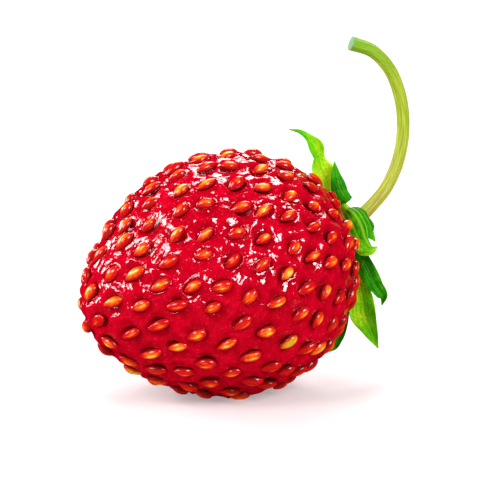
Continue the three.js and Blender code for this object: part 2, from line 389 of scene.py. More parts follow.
@dataclass(frozen=True)
class FleshFinish:
    """Ripe flesh: deep translucent red with a wet, finely pitted skin."""

    deep: Colour = (0.25, 0.0, 0.003)
    bright: Colour = (0.49, 0.0002, 0.013)
    pale: Colour = (0.48, 0.03, 0.02)
    # Colour of painted glints: bright flecks that stand in for tiny sparkles of reflected light.
    painted_glint: Colour = (0.72, 0.020, 0.05)
    cloud_scale: float = 0.35
    blotch_scale: float = 2.2
    grain_scale: float = 5.5
    cell_scale: float = 5.0
    dimple_scale: float = 1.5
    dimple_mm: float = 0.13
    wrinkle_mm: float = 0.035
    pit_mm: float = 0.010
    wrinkles_round_seat: float = 3.6
    wrinkles_outward: float = 0.8

    def make(self) -> bpy.types.Material:
        """Builds the material.

        Returns:
            The material.
        """
        material, board = new_material("flesh")
        place = board.place_mm()
        seat = board.attribute("seat")
        ridge = board.attribute("ridge")
        neck = board.attribute("neck")
        clouds = board.noise(place, self.cloud_scale, 3.0)
        blotches = board.noise(place, self.blotch_scale, 4.0, 0.6)
        # Painted light and shade: the tone is lifted on the ridges and darkened in the seats round the
        # achenes, over the random clouds and blotches.
        tone = (0.06 + 0.75 * clouds + (blotches - 0.5) + 0.35 * ridge - 0.30 * seat).clamped()
        red = board.mix(tone, self.deep, self.bright)
        grain = board.noise(place, self.grain_scale, 3.0, 0.65)
        skin_cells = board.cells(place, self.cell_scale)
        # Painted glints: bright red flecks on the skin's cells stand in for tiny sparkles of reflected
        # light.
        painted_glints = skin_cells.band(0.36, 0.12) * blotches.band(0.38, 0.62)
        glinted = board.mix(painted_glints * 0.55, red, self.painted_glint)
        colour = board.mix(neck * 0.2, glinted, self.pale)
        dimpled = board.bump(board.noise(place, self.dimple_scale), self.dimple_mm)
        wrinkled = board.bump(self._wrinkles(board), self.wrinkle_mm, dimpled)
        pitted = board.bump(0.6 * grain + 0.4 * skin_cells, self.pit_mm, wrinkled)
        surface(
            board,
            Coating(
                scatter=0.30,
                scatter_depth_mm=0.8,
                scatter_reach=(1.0, 0.10, 0.08),
                ior=1.75,
            ),
            {"Base Color": colour, "Roughness": 0.04 + 0.06 * grain, "Normal": pitted},
        )
        return material

    def _wrinkles(self, board: Board) -> Wire:
        """Fine wrinkles that run out from each achene's seat.

        Args:
            board: the material's board.

        Returns:
            The relief, between 0 and 1.
        """
        seatward = board.attribute("seatward", "Vector")
        x, y, far = (
            board.node("ShaderNodeSeparateXYZ", inputs={"Vector": seatward}, outlet=axis)
            for axis in "XYZ"
        )
        folds = board.fibres(
            x * self.wrinkles_round_seat,
            y * self.wrinkles_round_seat,
            far * self.wrinkles_outward + board.attribute("seat_mark"),
            detail=2.0,
        )
        return 0.5 + (folds - 0.5) * board.attribute("hem")


@dataclass(frozen=True)
class AcheneFinish:
    """An achene: a glossy amber back in a red skin, finely streaked, with a thin dark line along one
    long side and painted shade round its foot.
    """

    skin: Colour = (0.46, 0.002, 0.003)
    orange: Colour = (0.68, 0.060, 0.002)
    amber: Colour = (0.78, 0.25, 0.006)
    crest: Colour = (0.90, 0.50, 0.07)
    olive: Colour = (0.42, 0.32, 0.005)
    # Dark colour of the line along one long side and of the painted shade round the foot.
    dark_edge: Colour = (0.03, 0.006, 0.003)
    streak_scale: tuple[float, float, float] = (1.2, 6.5, 40.0)
    spot_scale: float = 3.0
    relief_mm: float = 0.02

    def make(self) -> bpy.types.Material:
        """Builds the material.

        Returns:
            The material.
        """
        material, board = new_material("achene")
        along = board.attribute("along")
        across = board.attribute("across")
        crown = board.attribute("crown")
        tone = board.attribute("tone")
        long, wide, own = self.streak_scale
        streaks = board.fibres(along * long, across * wide, tone * own, detail=2.0)
        spots = board.noise(board.place_mm(), self.spot_scale)
        stripe = abs(across - 0.12 + 0.5 * (spots - 0.5)).band(0.30, 0.05) * crown.band(0.6, 0.95)
        ripeness = (
            crown * 0.95
            + 1.2 * (streaks - 0.5)
            + 0.6 * (spots - 0.5)
            + (tone - 0.5)
            + 0.30 * stripe
            - 0.42
        ).clamped()
        body = board.ramp(
            ripeness, [(0.12, self.skin), (0.45, self.orange), (0.78, self.amber), (1.0, self.crest)]
        )
        aged = board.mix(tone.band(0.82, 0.95) * 0.8 * crown, body, self.olive)
        # A thin dark line along one long side, and painted shade round the foot where the achene sits in
        # its seat, both in the dark colour.
        dark_edge = (across * -1.0).band(0.70, 0.84) * crown.band(0.58, 0.42) * abs(along).band(0.95, 0.6)
        foot = crown.band(0.20, 0.04)
        colour = board.mix((0.40 * dark_edge + 0.25 * foot).clamped(), aged, self.dark_edge)
        relief = board.bump(streaks, self.relief_mm)
        surface(
            board,
            Coating(
                scatter=0.2,
                scatter_depth_mm=0.3,
                scatter_reach=(1.0, 0.35, 0.1),
                coat_roughness=0.17,
                coat_ior=1.55,
                specular=0.0,
            ),
            {
                "Base Color": colour,
                "Roughness": 0.35 + 0.25 * streaks,
                "Coat Weight": 1.0,
                "Normal": relief,
            },
        )
        return material


@dataclass(frozen=True)
class LeafFinish:
    """A calyx leaf: veined green that yellows towards its margin and its veins."""

    name: str
    dark: Colour = (0.004, 0.085, 0.003)
    green: Colour = (0.020, 0.27, 0.001)
    light: Colour = (0.12, 0.47, 0.002)
    yellow: Colour = (0.46, 0.62, 0.012)
    vein: Colour = (0.40, 0.50, 0.02)
    under_side: Colour = (0.10, 0.24, 0.05)
    streak_scale: tuple[float, float, float] = (2.2, 6.0, 9.0)
    cloud_scale: float = 1.1
    cell_scale: float = 6.0
    grain_scale: float = 12.0
    net_mm: float = 0.06
    grain_mm: float = 0.012

    def make(self) -> bpy.types.Material:
        """Builds the material.

        Returns:
            The material.
        """
        material, board = new_material(self.name)
        along = board.attribute("along")
        across = board.attribute("across")
        vein = board.attribute("vein")
        under = board.attribute("under")
        shade = board.attribute("shade")
        place = board.place_mm()
        clouds = board.noise(place, self.cloud_scale, 3.0)
        cells = board.cells(place, self.cell_scale)
        long, wide, own = self.streak_scale
        streaks = board.fibres(along * long, across * wide, shade * own)
        tone = (shade + 0.7 * (clouds - 0.5) + 0.8 * (streaks - 0.5) + 0.2 * (cells - 0.4)).clamped()
        body = board.ramp(
            tone, [(0.0, self.dark), (0.35, self.green), (0.68, self.light), (1.0, self.yellow)]
        )
        margin = abs(across).band(0.88, 1.0)
        veined = board.mix((0.55 * vein + 0.40 * margin).clamped(), body, self.vein)
        pale = board.mix(under * 0.35, veined, self.under_side)
        tip = board.mix(along.band(0.90, 1.0) * 0.5, pale, self.vein)
        net = board.bump(0.6 * cells + 0.4 * streaks, self.net_mm)
        fine = board.bump(board.noise(place, self.grain_scale), self.grain_mm, net)
        surface(
            board,
            Coating(
                scatter=0.25,
                scatter_depth_mm=0.3,
                scatter_reach=(0.5, 1.0, 0.1),
                coat_roughness=0.25,
                specular=0.02,
            ),
            {
                "Base Color": tip,
                "Roughness": 0.45 + 0.2 * cells,
                "Coat Weight": 0.05,
                "Normal": fine,
            },
        )
        return material


@dataclass(frozen=True)
class StalkFinish:
    """The stalk: yellow-green with pale streaks, greener at the cut and browner at the foot."""

    body: Colour = (0.22, 0.30, 0.004)
    streak: Colour = (0.50, 0.58, 0.07)
    green: Colour = (0.12, 0.33, 0.006)
    blush: Colour = (0.36, 0.20, 0.05)
    ring_scale: float = 2.6
    long_scale: float = 5.0
    cloud_scale: float = 0.8
    grain_scale: float = 12.0
    streak_mm: float = 0.05
    grain_mm: float = 0.012

    def make(self) -> bpy.types.Material:
        """Builds the material.

        Returns:
            The material.
        """
        material, board = new_material("pedicel")
        along = board.attribute("along")
        around = board.attribute("around")
        turn = around * FULL_TURN
        streaks = board.fibres(
            turn.cosine() * self.ring_scale, turn.sine() * self.ring_scale, along * self.long_scale, 1.6
        )
        clouds = board.noise(board.place_mm(), self.cloud_scale)
        green_end = along.band(0.62, 1.0)
        base = board.mix(streaks.band(0.35, 0.75) * 0.75, self.body, self.streak)
        green = board.mix((green_end * 0.75 + 0.5 * (clouds - 0.5)).clamped(), base, self.green)
        flush = along.band(0.62, 0.05) * streaks.band(0.62, 0.36)
        colour = board.mix(flush * 0.75, green, self.blush)
        relief = board.bump(streaks, self.streak_mm)
        fine = board.bump(board.noise(board.place_mm(), self.grain_scale), self.grain_mm, relief)
        surface(
            board,
            Coating(
                scatter=0.30,
                scatter_depth_mm=0.4,
                scatter_reach=(0.7, 1.0, 0.1),
                coat_roughness=0.25,
                specular=0.15,
            ),
            {
                "Base Color": colour,
                "Roughness": 0.38 + 0.25 * streaks,
                "Coat Weight": 0.15,
                "Normal": fine,
            },
        )
        return material


@dataclass(frozen=True)
class CutFinish:
    """The cut end of the stalk: pale pith in a ring of darker green."""

    pith: Colour = (0.22, 0.40, 0.13)
    rind: Colour = (0.06, 0.22, 0.09)
    pore_scale: float = 7.0
    pore_mm: float = 0.05

    def make(self) -> bpy.types.Material:
        """Builds the material.

        Returns:
            The material.
        """
        material, board = new_material("pedicel_cut")
        pores = board.cells(board.place_mm(), self.pore_scale)
        colour = board.mix(pores.band(0.1, 0.6) * 0.5, self.pith, self.rind)
        relief = board.bump(pores, self.pore_mm)
        surface(
            board,
            Coating(scatter=0.2, scatter_depth_mm=0.3),
            {"Base Color": colour, "Roughness": 0.55 + 0.2 * pores, "Normal": relief},
        )
        return material


@dataclass(frozen=True)
class TableFinish:
    """A white sheet with a faint sheen, tinted faintly pink as painted bounce light from the red berry.
    """

    # Painted bounce light: the white and the glow are both tinted faintly pink, standing in for red
    # light bounced from the berry into its shadow.
    white: Colour = (0.62, 0.545, 0.552)
    glow_tint: Colour = (1.0, 0.965, 0.97)
    glow: float = 0.32

    def make(self) -> bpy.types.Material:
        """Builds the material.

        Returns:
            The material.
        """
        material, board = new_material("table")
        surface(
            board,
            Coating(specular=0.25),
            {
                "Base Color": (*self.white, 1.0),
                "Roughness": 0.32,
                "Emission Color": (*self.glow_tint, 1.0),
                "Emission Strength": self.glow,
            },
        )
        return material


# --- meshes -----------------------------------------------------------------------------------


def mesh_object(
    name: str,
    points_mm: np.ndarray,
    faces: list[tuple[int, ...]] | np.ndarray,
    attributes: dict[str, np.ndarray] | None = None,
) -> bpy.types.Object:
    """Makes a smooth mesh object at the origin.

    Args:
        name: the piece's name.
        points_mm: its vertices.
        faces: vertex numbers of each face, anticlockwise seen from outside.
        attributes: numbers, or vectors, held at each vertex.

    Returns:
        The object.
    """
    mesh = bpy.data.meshes.new(name)
    rows = faces.tolist() if isinstance(faces, np.ndarray) else faces
    mesh.from_pydata((points_mm * MM).tolist(), [], rows)
    mesh.polygons.foreach_set("use_smooth", [True] * len(mesh.polygons))
    for key, values in (attributes or {}).items():
        wide = values.ndim == 2
        layer = mesh.attributes.new(key, "FLOAT_VECTOR" if wide else "FLOAT", "POINT")
        layer.data.foreach_set("vector" if wide else "value", values.astype(np.float32).ravel())
    mesh.update()
    made = bpy.data.objects.new(name, mesh)
    bpy.context.scene.collection.objects.link(made)
    return made


def ring_faces(start: int, rings: int, sides: int) -> list[tuple[int, ...]]:
    """The squares between closed rings of vertices.

    Args:
        start: the first ring's first vertex.
        rings: how many rings there are.
        sides: how many vertices each of them has.

    Returns:
        Vertex numbers of each square.
    """
    return [
        (a + k, a + (k + 1) % sides, a + sides + (k + 1) % sides, a + sides + k)
        for a in range(start, start + (rings - 1) * sides, sides)
        for k in range(sides)
    ]


def dress(piece: bpy.types.Object, material: bpy.types.Material) -> None:
    """Gives a piece one material."""
    piece.data.materials.clear()
    piece.data.materials.append(material)


def grow(
    carrier: bpy.types.Object, tree: bpy.types.NodeTree, values: dict[str, Any], name: str
) -> bpy.types.Object:
    """Runs a geometry tree on a carrier and keeps the result as a plain mesh.

    Args:
        carrier: the object the tree works on.
        tree: the geometry tree.
        values: its inputs by name.
        name: the new piece's name.

    Returns:
        The piece that was grown.
    """
    modifier = carrier.modifiers.new("grow", "NODES")
    modifier.node_group = tree
    sockets = {i.name: i.identifier for i in tree.interface.items_tree if i.in_out == "INPUT"}
    for key, value in values.items():
        modifier[sockets[key]] = value
    graph = bpy.context.evaluated_depsgraph_get()
    graph.update()
    mesh = bpy.data.meshes.new_from_object(
        carrier.evaluated_get(graph), preserve_all_data_layers=True, depsgraph=graph
    )
    carrier.modifiers.remove(modifier)
    mesh.name = name
    piece = bpy.data.objects.new(name, mesh)
    bpy.context.scene.collection.objects.link(piece)
    return piece


class GrowthTree:
    """A geometry tree with named inputs that ends in Realize Instances and Set Material."""

    def __init__(self, name: str, inputs: dict[str, tuple[str, Any]]) -> None:
        """Makes the tree and its inputs.

        Args:
            name: the tree's name.
            inputs: socket type and first value by input name.
        """
        self.tree = bpy.data.node_groups.new(name, "GeometryNodeTree")
        self.board = Board(self.tree)
        self.tree.interface.new_socket("Geometry", in_out="INPUT", socket_type="NodeSocketGeometry")
        self.tree.interface.new_socket("Geometry", in_out="OUTPUT", socket_type="NodeSocketGeometry")
        for key, (kind, value) in inputs.items():
            made = self.tree.interface.new_socket(key, in_out="INPUT", socket_type=kind)
            if value is not None:
                made.default_value = value
        self._entry = self.tree.nodes.new("NodeGroupInput")

    def input(self, name: str) -> Wire:
        """A named input of the tree."""
        return Wire(self.board, Board.find(self._entry.outputs, name))

    def direction(self, name: str) -> Wire:
        """A named direction that the geometry holds at each point.

        Args:
            name: the attribute.

        Returns:
            The direction.
        """
        return self.board.node(
            "GeometryNodeInputNamedAttribute", {"data_type": "FLOAT_VECTOR"}, {"Name": name}
        )

    def random(self, low: float, high: float, seed: Wire, channel: int) -> Wire:
        """A random number for each point.

        Args:
            low: the least value.
            high: the greatest.
            seed: the tree's seed.
            channel: which independent set of numbers.

        Returns:
            The numbers.
        """
        return self.board.node(
            "FunctionNodeRandomValue",
            {"data_type": "FLOAT"},
            {"Min_001": low, "Max_001": high, "Seed": seed + channel},
            "Value_001",
        )

    def finish(self, geometry: Wire) -> bpy.types.NodeTree:
        """Ends the tree.

        Args:
            geometry: what was grown.

        Returns:
            The finished tree.
        """
        real = self.board.node("GeometryNodeRealizeInstances", inputs={"Geometry": geometry})
        out = self.board.node(
            "GeometryNodeSetMaterial", inputs={"Geometry": real, "Material": self.input("Material")}
        )
        self.board.node("NodeGroupOutput", inputs={"Geometry": out})
        return self.tree


# --- the berry --------------------------------------------------------------------------------


def smooth_path(share: float, shares: np.ndarray, rows: np.ndarray) -> np.ndarray:
    """A place on a smooth path through rows of numbers.

    Args:
        share: how far along the path, 0 to 1.
        shares: how far along each row is.
        rows: the rows.

    Returns:
        The numbers there.
    """
    slopes = np.gradient(rows, shares, axis=0)
    k = int(np.clip(np.searchsorted(shares, share) - 1, 0, len(shares) - 2))
    span = shares[k + 1] - shares[k]
    t = (share - shares[k]) / span
    start = (2 * t**3 - 3 * t**2 + 1) * rows[k] + (t**3 - 2 * t**2 + t) * span * slopes[k]
    end = (3 * t**2 - 2 * t**3) * rows[k + 1] + (t**3 - t**2) * span * slopes[k + 1]
    return start + end


@dataclass(frozen=True)
class BerryShape:
    """The berry's outline in its own frame: +Z along the axis to the tip, +X its upper side."""

    length: float = 19.5
    radius: float = 7.85
    shoulder: float = 0.167
    pointedness: float = 0.164
    bow_up: float = 0.4
    bow_side: float = -0.4
    tip_drop: float = math.radians(10.0)
    flat_depth: float = 0.2
    calyx_rise: float = 0.5

    def ring(self, polar: np.ndarray) -> tuple[np.ndarray, np.ndarray, np.ndarray]:
        """Rings of the outline.

        Args:
            polar: angles, 0 at the calyx end and pi at the tip.

        Returns:
            Place along the axis, radius, and the square of the cosine that the bow follows.
        """
        c = np.cos(polar)
        radius = self.radius * np.sin(polar) * (1 + self.shoulder * c - self.pointedness * c * c)
        return -self.length / 2 * c, radius, c * c

    def points(self, polar: np.ndarray, azimuth: np.ndarray) -> np.ndarray:
        """Points of the flesh's smooth surface.

        Args:
            polar: angle from the calyx end.
            azimuth: angle round the axis from the upper side.

        Returns:
            One row of x, y and z for each pair of angles.
        """
        along, radius, bow = self.ring(polar)
        up = radius * np.cos(azimuth) + self.bow_up * bow
        side = radius * np.sin(azimuth) + self.bow_side * bow
        return np.stack([up, side, along], axis=-1)

    def directions(self, polar: np.ndarray, azimuth: np.ndarray) -> tuple[np.ndarray, np.ndarray]:
        """Directions on the flesh's smooth surface.

        Args:
            polar: angle from the calyx end.
            azimuth: angle round the axis from the upper side.

        Returns:
            Unit vectors along the meridian to the tip, and outwards.
        """
        step = 1e-3
        near = np.clip(polar, 0.02, np.pi - 0.02)
        tipward = self.points(near + step, azimuth) - self.points(near - step, azimuth)
        round_axis = self.points(near, azimuth + step) - self.points(near, azimuth - step)
        outward = np.cross(round_axis, tipward)
        tipward /= np.linalg.norm(tipward, axis=-1, keepdims=True)
        outward /= np.linalg.norm(outward, axis=-1, keepdims=True)
        facing = np.sum(outward * self.points(polar, azimuth), axis=-1, keepdims=True)
        return tipward, np.where(facing < 0, -outward, outward)

    def lying(self) -> Matrix:
        """Where the berry's frame is when it lies on its flat spot, in millimetres.

        Returns:
            The matrix from the berry's frame to the row's.
        """
        polar = np.linspace(0.0, math.pi, 3143)
        along, radius, bow = self.ring(polar)
        below = radius - self.bow_up * bow
        x = -along * math.cos(self.tip_drop) + below * math.sin(self.tip_drop)
        z = -along * math.sin(self.tip_drop) - below * math.cos(self.tip_drop)
        low = int(np.argmin(z))
        place = Matrix.Translation((-x[low], 0.0, -z[low] - self.flat_depth))
        return place @ Matrix.Rotation(-math.pi / 2 - self.tip_drop, 4, "Y")

    def seat(self) -> Vector:
        """The middle of the calyx's seat, in the berry's frame."""
        return Vector((self.bow_up + self.calyx_rise, self.bow_side, -self.length / 2))

    def centre(self) -> Vector:
        """The middle of the axis, in the row's frame."""
        return self.lying().translation


def moved(points: np.ndarray, matrix: Matrix) -> np.ndarray:
    """Points carried by a matrix.

    Args:
        points: rows of x, y and z.
        matrix: a 4 x 4 matrix.

    Returns:
        The carried rows.
    """
    m = np.array(matrix)
    return points @ m[:3, :3].T + m[:3, 3]


@dataclass
class AcheneSpiral:
    """Where the achenes sit: a golden-angle spiral of equal areas, a little out of true."""

    shape: BerryShape
    count: int = 236
    bare_neck: float = 0.045
    wander_mm: float = 0.15
    lean: tuple[float, float, float] = (-0.42, 0.34, 0.84)
    lean_share: float = 0.55
    first_polar: float = 0.05
    last_polar: float = 0.03
    seed: int = 7

    def angles(self) -> tuple[np.ndarray, np.ndarray]:
        """Polar and azimuth angle of each achene.

        Returns:
            The two rows of angles, in radians.
        """
        steps = np.linspace(0.0, math.pi, 4001)
        along, radius, _ = self.shape.ring(steps)
        slant = np.hypot(np.diff(along), np.diff(radius))
        area = np.concatenate([[0.0], np.cumsum(slant * (radius[1:] + radius[:-1]))])
        share = self.bare_neck + (1 - self.bare_neck) * (np.arange(self.count) + 0.5) / self.count
        polar = np.interp(share * area[-1], area, steps)
        azimuth = np.arange(self.count) * GOLDEN_ANGLE
        chance = np.random.default_rng(self.seed)
        ring = np.maximum(self.shape.ring(polar)[1], 1.0)
        polar = polar + chance.normal(0, self.wander_mm, self.count) / (self.shape.length / 2)
        azimuth = azimuth + chance.normal(0, self.wander_mm, self.count) / ring
        return np.clip(polar, self.first_polar, math.pi - self.last_polar), azimuth

    def frames(self) -> tuple[np.ndarray, np.ndarray, np.ndarray]:
        """Place, tipward direction and outward direction of each achene.

        Returns:
            Three arrays with a row for each achene, in the berry's frame.
        """
        polar, azimuth = self.angles()
        tipward, outward = self.shape.directions(polar, azimuth)
        tipward = tipward * (1 - self.lean_share) + np.array(self.lean) * self.lean_share
        tipward -= outward * np.sum(tipward * outward, axis=1, keepdims=True)
        tipward /= np.linalg.norm(tipward, axis=1, keepdims=True)
        return self.shape.points(polar, azimuth), tipward, outward


@dataclass
class Berry:
    """The flesh with its seats and ridges, and the achenes in the seats."""

    shape: BerryShape = field(default_factory=BerryShape)
    flesh_grid: int = 124
    seat_depth: float = 0.32
    seat_reach: float = 0.68
    collar_height: float = 0.10
    crest_height: float = 0.04
    crest_reach: float = 0.36
    swelling_height: float = 0.20
    swelling_size: float = 1.15
    lump_height: float = 0.20
    lump_size: float = 2.1
    ripple_height: float = 0.105
    ripple_size: float = 0.62
    warp: float = 0.24
    achene_length: float = 1.42
    achene_width: float = 0.84
    achene_thickness: float = 0.78
    achene_lift: float = 0.05
    achene_slew: float = math.radians(3.0)
    achene_sway: float = 0.30
    achene_spread: float = 0.16
    achene_clearance: float = 0.30
    skin_rise: float = 0.02
    neck_angle: float = 0.42
    neck_dip: float = 0.10
    warp_size: float = 0.9
    collar_oval: float = 1.1
    collar_reach: float = 0.35
    crest_start: float = 0.8
    hem_width: float = 0.5
    seed: int = 11

    def __post_init__(self) -> None:
        """Lays out the spiral."""
        self.spiral = AcheneSpiral(self.shape)

    def build(self) -> list[bpy.types.Object]:
        """Makes the flesh and the achenes.

        Returns:
            Both pieces.
        """
        flesh = self._flesh()
        dress(flesh, FleshFinish().make())
        achenes = self._achenes()
        for piece, slot in ((flesh, "flesh"), (achenes, "achene")):
            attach(piece, BODY)
            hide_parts("berry")
        return [flesh, achenes]

    def _ball(self) -> tuple[np.ndarray, np.ndarray]:
        """An even net of squares on a sphere.

        Returns:
            Unit directions, and the vertex numbers of each square.
        """
        n = self.flesh_grid
        t = np.tan(np.linspace(-1, 1, n + 1) * math.pi / 4)
        u, v = np.meshgrid(t, t, indexing="ij")
        one = np.ones_like(u)
        sides = [(u, v, one), (v, u, -one), (one, u, v), (-one, v, u), (v, one, u), (u, -one, v)]
        points = np.concatenate([np.stack(s, axis=-1).reshape(-1, 3) for s in sides])
        points /= np.linalg.norm(points, axis=1, keepdims=True)
        corner = np.arange(n + 1)[:-1, None] * (n + 1) + np.arange(n + 1)[None, :-1]
        square = np.stack([corner, corner + n + 1, corner + n + 2, corner + 1], axis=-1).reshape(-1, 4)
        squares = np.concatenate([square + k * (n + 1) ** 2 for k in range(6)])
        _, first, number = np.unique(np.round(points, 6), axis=0, return_index=True, return_inverse=True)
        return points[first], number.reshape(-1)[squares]

    def _flesh(self) -> bpy.types.Object:
        """The flesh, displaced into seats, collars, ridges and lumps.

        Returns:
            The piece.
        """
        ball, squares = self._ball()
        polar = np.arccos(np.clip(-ball[:, 2], -1, 1))
        azimuth = np.arctan2(ball[:, 1], ball[:, 0])
        smooth = self.shape.points(polar, azimuth)
        _, outward = self.shape.directions(polar, azimuth)
        at_pole = np.sin(polar) < 0.02
        outward[at_pole] = np.sign(smooth[at_pole, 2:3]) * np.array([[0.0, 0.0, 1.0]])
        warp = np.stack([self._noise(smooth, self.warp_size, channel) for channel in (3, 4, 5)], axis=1)
        seat, collar, ridge, hem, seatward, mark = self._seats(smooth + self.warp * warp)
        lumps = self._noise(smooth, self.lump_size, 1) * self.lump_height
        ripples = self._noise(smooth, self.ripple_size, 2) * self.ripple_height
        offset = self.skin_rise - self.seat_depth * seat
        offset += self.collar_height * collar + self.crest_height * ridge
        offset += lumps + ripples + self._noise(smooth, self.swelling_size, 6) * self.swelling_height
        neck = np.exp(-((polar / self.neck_angle) ** 2))
        offset = offset * (1 - neck) - self.neck_dip * neck
        points = moved(smooth + outward * offset[:, None], self.shape.lying())
        points[:, 2] = np.maximum(points[:, 2], 0.0)
        held = {"seat": seat, "ridge": ridge, "neck": neck, "hem": hem, "seatward": seatward}
        return mesh_object("flesh", points, squares, {**held, "seat_mark": mark})

    def _seats(self, smooth: np.ndarray) -> tuple[np.ndarray, ...]:
        """How the flesh stands round the achenes.

        Args:
            smooth: points of the smooth surface.

        Returns:
            Depth of the seat, height of the collar, height of the ridge, and how far the wrinkles
            reach, each 0 to 1; the direction and distance from the nearest achene; and that
            achene's own number.
        """
        place, tipward, outward = self.spiral.frames()
        across = np.cross(outward, tipward)
        marks = np.random.default_rng(self.seed + 1).uniform(0, 500, len(place))
        seat, collar, ridge, hem, seatward, mark = [], [], [], [], [], []
        for part in np.array_split(smooth, 24):
            gap = part[:, None, :] - place[None, :, :]
            far = np.einsum("ijk,ijk->ij", gap, gap)
            near = np.argmin(far, axis=1)
            rows = np.arange(len(part))
            two = np.sqrt(np.partition(far, 1, axis=1)[:, :2])
            away = gap[rows, near]
            lengthwise = np.einsum("ij,ij->i", away, tipward[near]) / (self.achene_length / 2)
            widthwise = np.einsum("ij,ij->i", away, across[near]) / (self.achene_width / 2)
            oval = np.hypot(lengthwise, widthwise)
            seat.append(np.exp(-((two[:, 0] / self.seat_reach) ** 2)))
            collar.append(np.exp(-(((oval - self.collar_oval) / self.collar_reach) ** 2)))
            crest = np.exp(-(((two[:, 1] - two[:, 0]) / 2 / self.crest_reach) ** 2))
            ridge.append(crest * np.clip(two[:, 0] / self.crest_start, 0, 1))
            hem.append(np.clip((two[:, 1] - two[:, 0]) / self.hem_width, 0, 1) ** 2)
            reach = np.maximum(oval, 1e-3)
            seatward.append(np.stack([lengthwise / reach, widthwise / reach, two[:, 0]], axis=1))
            mark.append(marks[near])
        return tuple(np.concatenate(held) for held in (seat, collar, ridge, hem, seatward, mark))

    def _noise(self, points: np.ndarray, size: float, channel: int) -> np.ndarray:
        """Smooth noise on the surface.

        Args:
            points: where it is read.
            size: how large its lumps are.
            channel: which independent noise.

        Returns:
            Values from about -1 to 1.
        """
        shift = Vector((31.7, 17.3, 5.9)) * (channel + self.seed)
        return np.array([noise.noise(Vector(p) / size + shift) for p in points])

    def _achene_form(self) -> bpy.types.Object:
        """One achene, pointed at +X, with its back at +Z, in metres.

        Returns:
            The object that is set in every seat.
        """
        sides, rings = 8, 7
        half = (self.achene_length / 2, self.achene_width / 2, self.achene_thickness / 2)
        points, along, across, crown = [], [], [], []
        for i in range(rings):
            t = math.pi * (i + 0.5 * (i == 0) - 0.5 * (i == rings - 1)) / (rings - 1)
            x = -math.cos(t)
            slim = math.sin(t) * (1 - 0.42 * max(0.0, x) ** 1.5) * (1 - 0.06 * min(0.0, x))
            for k in range(sides):
                turn = FULL_TURN * k / sides
                y, z = math.cos(turn) * slim, math.sin(turn) * slim
                belly = 1.0 if z > 0 else 0.85
                points.append((x * half[0], y * half[1], z * belly * half[2]))
                along.append(x)
                across.append(y)
                crown.append(max(0.0, z))
        faces = ring_faces(0, rings, sides)
        faces.append(tuple(reversed(range(sides))))
        faces.append(tuple((rings - 1) * sides + k for k in range(sides)))
        held = {"along": np.array(along), "across": np.array(across), "crown": np.array(crown)}
        return mesh_object("achene_form", np.array(points), faces, held)

    def _achene_tree(self) -> bpy.types.NodeTree:
        """The geometry tree that sets one achene in each seat.

        Returns:
            The tree.
        """
        growth = GrowthTree(
            "achenes_on_spiral",
            {
                "Achene": ("NodeSocketObject", None),
                "Sway": ("NodeSocketFloat", 0.2),
                "Slew": ("NodeSocketFloat", 0.0),
                "Size Spread": ("NodeSocketFloat", 0.1),
                "Seed": ("NodeSocketInt", 1),
                "Material": ("NodeSocketMaterial", None),
            },
        )
        board = growth.board
        seed = growth.input("Seed")
        sway = growth.input("Sway")
        spread = growth.input("Size Spread")
        form = board.node(
            "GeometryNodeObjectInfo", inputs={"Object": growth.input("Achene")}, outlet="Geometry"
        )
        upright = board.node(
            "FunctionNodeAxesToRotation",
            {"primary_axis": "Z", "secondary_axis": "X"},
            {0: growth.direction("outward"), 1: growth.direction("tipward")},
        )
        lean = board.node(
            "ShaderNodeCombineXYZ",
            inputs={
                "X": growth.random(-1.0, 1.0, seed, 1) * sway,
                "Y": growth.random(-1.0, 1.0, seed, 2) * sway * 0.7,
                "Z": growth.random(-1.0, 1.0, seed, 3) * sway + growth.input("Slew"),
            },
        )
        turned = board.node(
            "FunctionNodeRotateRotation",
            {"rotation_space": "LOCAL"},
            {0: upright, 1: board.node("FunctionNodeEulerToRotation", inputs={0: lean})},
        )
        size = board.node(
            "ShaderNodeCombineXYZ",
            inputs={
                "X": 1.0 + growth.random(-1.0, 0.7, seed, 4) * spread,
                "Y": 1.0 + growth.random(-1.0, 1.0, seed, 5) * spread,
                "Z": 1.0 + growth.random(-1.0, 1.0, seed, 6) * spread,
            },
        )
        grown = board.node(
            "GeometryNodeInstanceOnPoints",
            inputs={
                "Points": growth.input("Geometry"),
                "Instance": form,
                "Rotation": turned,
                "Scale": size,
            },
        )
        return growth.finish(grown)

    def _achenes(self) -> bpy.types.Object:
        """All achenes as one piece.

        Returns:
            The piece.
        """
        place, tipward, outward = self.spiral.frames()
        lying = self.shape.lying()
        turn = Matrix(lying).to_3x3().to_4x4()
        chance = np.random.default_rng(self.seed)
        ripe_end = np.clip(place[:, 2] / (self.shape.length / 2) - 0.25, 0, 1)
        tone = np.clip(chance.normal(0.44, 0.20, len(place)) + 0.22 * ripe_end, 0, 1)
        low = moved(place + outward * self.achene_lift, lying)
        inside = low[:, 2] > self.achene_clearance
        points = mesh_object(
            "achene_places",
            low[inside],
            [],
            {
                "tipward": moved(tipward, turn)[inside],
                "outward": moved(outward, turn)[inside],
                "tone": tone[inside],
            },
        )
        form = self._achene_form()
        material = AcheneFinish().make()
        achenes = grow(
            points,
            self._achene_tree(),
            {
                "Achene": form,
                "Sway": self.achene_sway,
                "Slew": self.achene_slew,
                "Size Spread": self.achene_spread,
                "Seed": self.seed,
                "Material": material,
            },
            "achenes",
        )
        for helper in (points, form):
            bpy.data.objects.remove(helper)
        finer = achenes.modifiers.new("finer", "SUBSURF")
        finer.levels = finer.render_levels = 1
        return achenes


# --- the calyx --------------------------------------------------------------------------------


class LeafKind(Enum):
    """The two rings of calyx leaves."""

    SEPAL = "sepal"
    BRACTLET = "bractlet"


